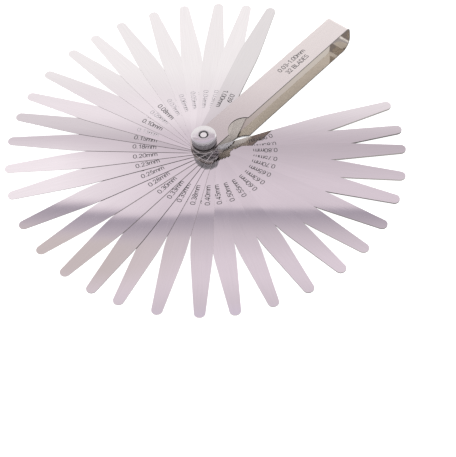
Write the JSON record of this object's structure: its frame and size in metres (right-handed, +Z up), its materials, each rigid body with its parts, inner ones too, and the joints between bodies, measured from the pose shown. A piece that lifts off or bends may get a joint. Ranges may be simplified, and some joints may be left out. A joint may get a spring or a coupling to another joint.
{
  "type": "feeler gauge",
  "caption": "Fan of tapered steel measuring blades on a pivot screw in a folded strip holder with a finger notch, clamped by a knurled nut.",
  "frame": {"origin": "on the pivot axis, at the underside of the pivot screw's head, which the gauge rests on", "axes": "+X runs from the pivot along the holder to its bend, +Z is up along the pivot axis towards the knurled nut, +Y completes the right-handed frame; the finger notch is in the holder's -Y edge"},
  "size_m": [0.1994, 0.1919, 0.0198],
  "materials": {
    "holder_strip": "satin nickel-plated strip, lightly brushed along its length",
    "screw_steel": "bright plated",
    "washer_steel": "bright plated",
    "nut_chrome": "bright plated, straight knurl round the side",
    "blade_steel": "ground and polished spring steel, sizes marked in dark lettering"
  },
  "bodies": {
    "holder": {"holder": "holder_strip", "pivot_screw": "screw_steel"},
    "washer": {"washer": "washer_steel"},
    "lock_nut": {"lock_nut": "nut_chrome"},
    "blade_1_00mm": {"blade_1_00mm": "blade_steel"},
    "blade_0_03mm": {"blade_0_03mm": "blade_steel"},
    "blade_0_04mm": {"blade_0_04mm": "blade_steel"},
    "blade_0_05mm": {"blade_0_05mm": "blade_steel"},
    "blade_0_06mm": {"blade_0_06mm": "blade_steel"},
    "blade_0_07mm": {"blade_0_07mm": "blade_steel"},
    "blade_0_08mm": {"blade_0_08mm": "blade_steel"},
    "blade_0_09mm": {"blade_0_09mm": "blade_steel"},
    "blade_0_10mm": {"blade_0_10mm": "blade_steel"},
    "blade_0_13mm": {"blade_0_13mm": "blade_steel"},
    "blade_0_15mm": {"blade_0_15mm": "blade_steel"},
    "blade_0_18mm": {"blade_0_18mm": "blade_steel"},
    "blade_0_20mm": {"blade_0_20mm": "blade_steel"},
    "blade_0_23mm": {"blade_0_23mm": "blade_steel"},
    "blade_0_25mm": {"blade_0_25mm": "blade_steel"},
    "blade_0_28mm": {"blade_0_28mm": "blade_steel"},
    "blade_0_30mm": {"blade_0_30mm": "blade_steel"},
    "blade_0_33mm": {"blade_0_33mm": "blade_steel"},
    "blade_0_35mm": {"blade_0_35mm": "blade_steel"},
    "blade_0_38mm": {"blade_0_38mm": "blade_steel"},
    "blade_0_40mm": {"blade_0_40mm": "blade_steel"},
    "blade_0_45mm": {"blade_0_45mm": "blade_steel"},
    "blade_0_50mm": {"blade_0_50mm": "blade_steel"},
    "blade_0_55mm": {"blade_0_55mm": "blade_steel"},
    "blade_0_60mm": {"blade_0_60mm": "blade_steel"},
    "blade_0_63mm": {"blade_0_63mm": "blade_steel"},
    "blade_0_65mm": {"blade_0_65mm": "blade_steel"},
    "blade_0_70mm": {"blade_0_70mm": "blade_steel"},
    "blade_0_75mm": {"blade_0_75mm": "blade_steel"},
    "blade_0_80mm": {"blade_0_80mm": "blade_steel"},
    "blade_0_85mm": {"blade_0_85mm": "blade_steel"},
    "blade_0_90mm": {"blade_0_90mm": "blade_steel"}
  },
  "joints": [
    {"name": "washer_lift", "type": "slide", "parent": "holder", "child": "washer", "axis": [0, 0, 1], "range_m": [0, 0.0014]},
    {"name": "nut_turn", "type": "hinge", "parent": "washer", "child": "lock_nut", "pos_m": [0, 0, 0], "axis": [0, 0, 1], "range_deg": [0, 720]},
    {"name": "blade_1_00mm_swing", "type": "hinge", "parent": "holder", "child": "blade_1_00mm", "pos_m": [0, 0, 0], "axis": [0, 0, 1], "range_deg": [-21, 339]},
    {"name": "blade_0_03mm_swing", "type": "hinge", "parent": "holder", "child": "blade_0_03mm", "pos_m": [0, 0, 0], "axis": [0, 0, 1], "range_deg": [-29, 331]},
    {"name": "blade_0_04mm_swing", "type": "hinge", "parent": "holder", "child": "blade_0_04mm", "pos_m": [0, 0, 0], "axis": [0, 0, 1], "range_deg": [-38, 322]},
    {"name": "blade_0_05mm_swing", "type": "hinge", "parent": "holder", "child": "blade_0_05mm", "pos_m": [0, 0, 0], "axis": [0, 0, 1], "range_deg": [-49, 311]},
    {"name": "blade_0_06mm_swing", "type": "hinge", "parent": "holder", "child": "blade_0_06mm", "pos_m": [0, 0, 0], "axis": [0, 0, 1], "range_deg": [-59, 301]},
    {"name": "blade_0_07mm_swing", "type": "hinge", "parent": "holder", "child": "blade_0_07mm", "pos_m": [0, 0, 0], "axis": [0, 0, 1], "range_deg": [-70, 290]},
    {"name": "blade_0_08mm_swing", "type": "hinge", "parent": "holder", "child": "blade_0_08mm", "pos_m": [0, 0, 0], "axis": [0, 0, 1], "range_deg": [-79.5, 280.5]},
    {"name": "blade_0_09mm_swing", "type": "hinge", "parent": "holder", "child": "blade_0_09mm", "pos_m": [0, 0, 0], "axis": [0, 0, 1], "range_deg": [-88.5, 271.5]},
    {"name": "blade_0_10mm_swing", "type": "hinge", "parent": "holder", "child": "blade_0_10mm", "pos_m": [0, 0, 0], "axis": [0, 0, 1], "range_deg": [-99.5, 260.5]},
    {"name": "blade_0_13mm_swing", "type": "hinge", "parent": "holder", "child": "blade_0_13mm", "pos_m": [0, 0, 0], "axis": [0, 0, 1], "range_deg": [-109.5, 250.5]},
    {"name": "blade_0_15mm_swing", "type": "hinge", "parent": "holder", "child": "blade_0_15mm", "pos_m": [0, 0, 0], "axis": [0, 0, 1], "range_deg": [-118, 242]},
    {"name": "blade_0_18mm_swing", "type": "hinge", "parent": "holder", "child": "blade_0_18mm", "pos_m": [0, 0, 0], "axis": [0, 0, 1], "range_deg": [-127.5, 232.5]},
    {"name": "blade_0_20mm_swing", "type": "hinge", "parent": "holder", "child": "blade_0_20mm", "pos_m": [0, 0, 0], "axis": [0, 0, 1], "range_deg": [-138, 222]},
    {"name": "blade_0_23mm_swing", "type": "hinge", "parent": "holder", "child": "blade_0_23mm", "pos_m": [0, 0, 0], "axis": [0, 0, 1], "range_deg": [-148, 212]},
    {"name": "blade_0_25mm_swing", "type": "hinge", "parent": "holder", "child": "blade_0_25mm", "pos_m": [0, 0, 0], "axis": [0, 0, 1], "range_deg": [-159.5, 200.5]},
    {"name": "blade_0_28mm_swing", "type": "hinge", "parent": "holder", "child": "blade_0_28mm", "pos_m": [0, 0, 0], "axis": [0, 0, 1], "range_deg": [-170, 190]},
    {"name": "blade_0_30mm_swing", "type": "hinge", "parent": "holder", "child": "blade_0_30mm", "pos_m": [0, 0, 0], "axis": [0, 0, 1], "range_deg": [-180.5, 179.5]},
    {"name": "blade_0_33mm_swing", "type": "hinge", "parent": "holder", "child": "blade_0_33mm", "pos_m": [0, 0, 0], "axis": [0, 0, 1], "range_deg": [-190, 170]},
    {"name": "blade_0_35mm_swing", "type": "hinge", "parent": "holder", "child": "blade_0_35mm", "pos_m": [0, 0, 0], "axis": [0, 0, 1], "range_deg": [-198.5, 161.5]},
    {"name": "blade_0_38mm_swing", "type": "hinge", "parent": "holder", "child": "blade_0_38mm", "pos_m": [0, 0, 0], "axis": [0, 0, 1], "range_deg": [-209.5, 150.5]},
    {"name": "blade_0_40mm_swing", "type": "hinge", "parent": "holder", "child": "blade_0_40mm", "pos_m": [0, 0, 0], "axis": [0, 0, 1], "range_deg": [-221, 139]},
    {"name": "blade_0_45mm_swing", "type": "hinge", "parent": "holder", "child": "blade_0_45mm", "pos_m": [0, 0, 0], "axis": [0, 0, 1], "range_deg": [-230.5, 129.5]},
    {"name": "blade_0_50mm_swing", "type": "hinge", "parent": "holder", "child": "blade_0_50mm", "pos_m": [0, 0, 0], "axis": [0, 0, 1], "range_deg": [-241, 119]},
    {"name": "blade_0_55mm_swing", "type": "hinge", "parent": "holder", "child": "blade_0_55mm", "pos_m": [0, 0, 0], "axis": [0, 0, 1], "range_deg": [-251.5, 108.5]},
    {"name": "blade_0_60mm_swing", "type": "hinge", "parent": "holder", "child": "blade_0_60mm", "pos_m": [0, 0, 0], "axis": [0, 0, 1], "range_deg": [-262.5, 97.5]},
    {"name": "blade_0_63mm_swing", "type": "hinge", "parent": "holder", "child": "blade_0_63mm", "pos_m": [0, 0, 0], "axis": [0, 0, 1], "range_deg": [-272, 88]},
    {"name": "blade_0_65mm_swing", "type": "hinge", "parent": "holder", "child": "blade_0_65mm", "pos_m": [0, 0, 0], "axis": [0, 0, 1], "range_deg": [-282, 78]},
    {"name": "blade_0_70mm_swing", "type": "hinge", "parent": "holder", "child": "blade_0_70mm", "pos_m": [0, 0, 0], "axis": [0, 0, 1], "range_deg": [-292, 68]},
    {"name": "blade_0_75mm_swing", "type": "hinge", "parent": "holder", "child": "blade_0_75mm", "pos_m": [0, 0, 0], "axis": [0, 0, 1], "range_deg": [-301, 59]},
    {"name": "blade_0_80mm_swing", "type": "hinge", "parent": "holder", "child": "blade_0_80mm", "pos_m": [0, 0, 0], "axis": [0, 0, 1], "range_deg": [-311.5, 48.5]},
    {"name": "blade_0_85mm_swing", "type": "hinge", "parent": "holder", "child": "blade_0_85mm", "pos_m": [0, 0, 0], "axis": [0, 0, 1], "range_deg": [-319.5, 40.5]},
    {"name": "blade_0_90mm_swing", "type": "hinge", "parent": "holder", "child": "blade_0_90mm", "pos_m": [0, 0, 0], "axis": [0, 0, 1], "range_deg": [-330, 30]}
  ],
  "couplings": [
    {"joint": "nut_turn", "follows": "washer_lift", "rad_per_m": 8976}
  ]
}
